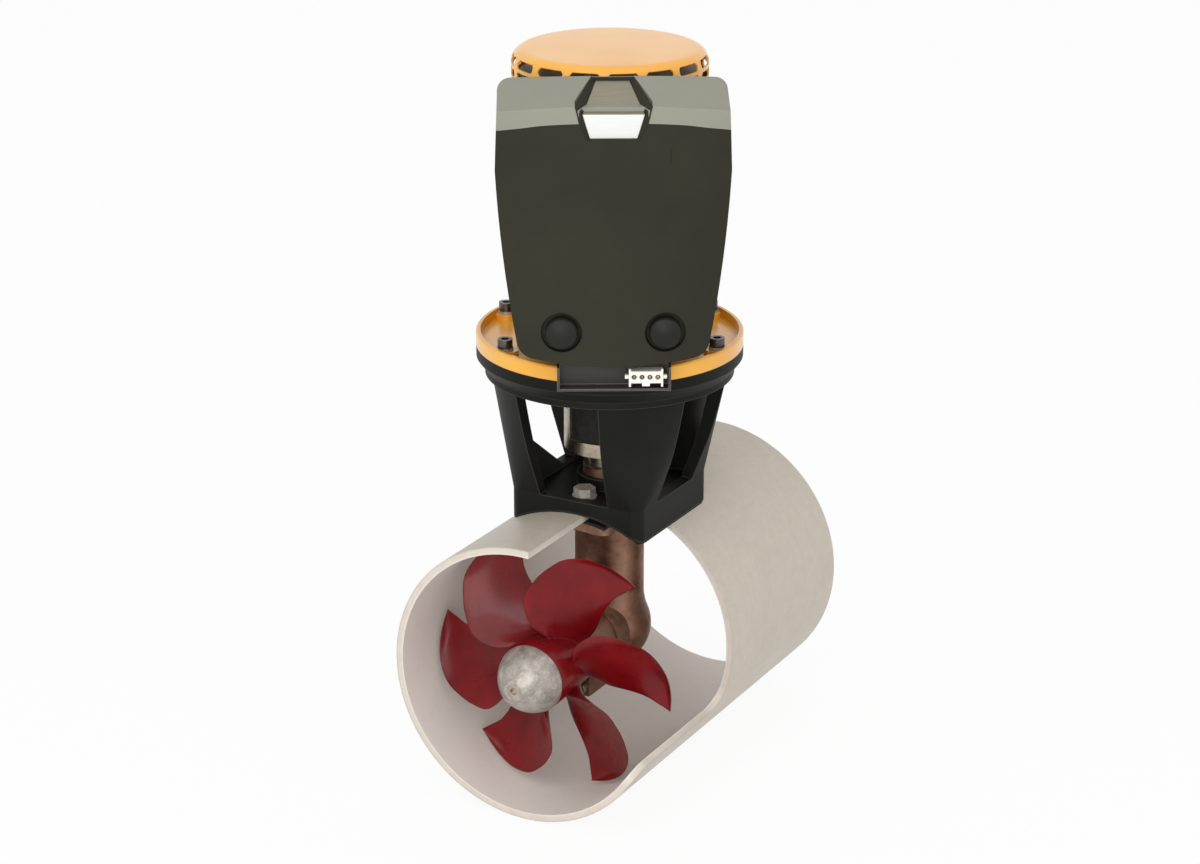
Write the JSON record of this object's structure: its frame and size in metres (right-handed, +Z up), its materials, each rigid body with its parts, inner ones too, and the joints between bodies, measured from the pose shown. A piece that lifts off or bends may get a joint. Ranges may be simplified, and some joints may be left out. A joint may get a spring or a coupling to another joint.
{
  "type": "bow thruster",
  "caption": "Electric bow thruster: covered upright motor on a windowed stand above a hull tunnel, driving a skewed propeller on a bronze tail leg through a bevel gear.",
  "frame": {"origin": "where the hull tunnel's axis crosses the vertical axis of the drive shaft", "axes": "+X along the tunnel, away from the propeller's end; +Z up towards the motor; +Y across the tunnel, away from the display window"},
  "size_m": [0.293, 0.2097, 0.5029],
  "materials": {
    "grp": "glass-reinforced resin, wound, satin outside",
    "stand_black": "matte black moulding",
    "rubber": "matte",
    "bronze": "cast bronze, fine-blasted",
    "steel": "machined",
    "dark_steel": "blackened screws",
    "zinc_plate": "galvanised",
    "zinc": "cast zinc, mottled",
    "propeller_red": "satin-gloss moulding",
    "orange": "satin powder coat",
    "motor_grey": "satin",
    "cast_grey": "die-cast",
    "copper": "enamelled wire and bar",
    "lamination": "stacked sheet",
    "carbon": "pressed carbon",
    "cover_black": "fine-textured dark moulding",
    "cover_grey": "fine-textured grey moulding",
    "insert_silver": "silver paint",
    "knob_black": "satin",
    "connector_white": "natural nylon",
    "bracket_steel": "dark coated sheet",
    "contactor_grey": "plated can",
    "board": "phenolic sheet"
  },
  "bodies": {
    "housing": {"hull_tunnel": "grp", "foot_gasket": "rubber", "leg_seal": "rubber", "motor_stand": "stand_black", "foot_bolts": "zinc_plate", "foot_washers": "zinc_plate", "tail_leg": "bronze", "gear_case_cap": "bronze", "lug_screw": "steel", "leg_top_bearing": "steel", "drive_shaft_seal": "rubber", "leg_lower_bush": "bronze", "prop_rear_bush": "bronze", "prop_front_bearing": "steel", "prop_shaft_seal": "rubber", "motor_flange": "orange", "flange_screws": "dark_steel", "flange_washers": "zinc_plate", "motor_case": "motor_grey", "field_poles": "lamination", "field_coils": "copper", "motor_lower_bearing": "steel", "motor_upper_bearing": "steel", "end_shield": "cast_grey", "carbon_brushes": "carbon", "brush_holders": "bronze", "motor_cap": "orange", "cap_screws": "dark_steel", "connector_bracket": "bracket_steel", "control_connector": "connector_white", "connector_contacts": "steel", "mounting_plate": "board", "plate_spacers": "board", "port_contactor": "contactor_grey", "starboard_contactor": "contactor_grey", "copper_busbars": "copper", "power_studs": "zinc_plate"},
    "drive": {"bevel_pinion": "steel", "drive_shaft": "steel", "coupling_cup": "steel", "coupling_rubber": "rubber", "coupling_top": "steel", "coupling_screw": "dark_steel", "armature_core": "lamination", "armature_windings": "copper", "commutator": "copper", "motor_shaft": "steel"},
    "propeller": {"bevel_wheel": "bronze", "prop_shaft": "steel", "propeller": "propeller_red", "drive_pin": "steel", "zinc_anode": "zinc", "anode_screw": "steel"},
    "cover": {"cover_shell": "cover_black", "cover_top": "cover_grey", "cover_insert": "insert_silver"},
    "left_knob": {"left_knob": "knob_black"},
    "right_knob": {"right_knob": "knob_black"}
  },
  "joints": [
    {"name": "drive_spin", "type": "hinge", "parent": "housing", "child": "drive", "pos_m": [0, 0, 0.15], "axis": [0, 0, 1], "continuous": true},
    {"name": "propeller_spin", "type": "hinge", "parent": "housing", "child": "propeller", "pos_m": [-0.05, 0, 0], "axis": [1, 0, 0], "continuous": true},
    {"name": "cover_slide", "type": "slide", "parent": "housing", "child": "cover", "axis": [-0.866, -0.5, 0], "range_m": [0, 0.06]},
    {"name": "left_knob_turn", "type": "hinge", "parent": "cover", "child": "left_knob", "pos_m": [-0.1031, -0.02142, 0.245], "axis": [-0.866, -0.5, 0], "range_deg": [0, 90]},
    {"name": "right_knob_turn", "type": "hinge", "parent": "cover", "child": "right_knob", "pos_m": [-0.0701, -0.07858, 0.245], "axis": [-0.866, -0.5, 0], "range_deg": [0, 90]}
  ],
  "couplings": [
    {"joint": "propeller_spin", "follows": "drive_spin", "ratio": -0.66667}
  ]
}
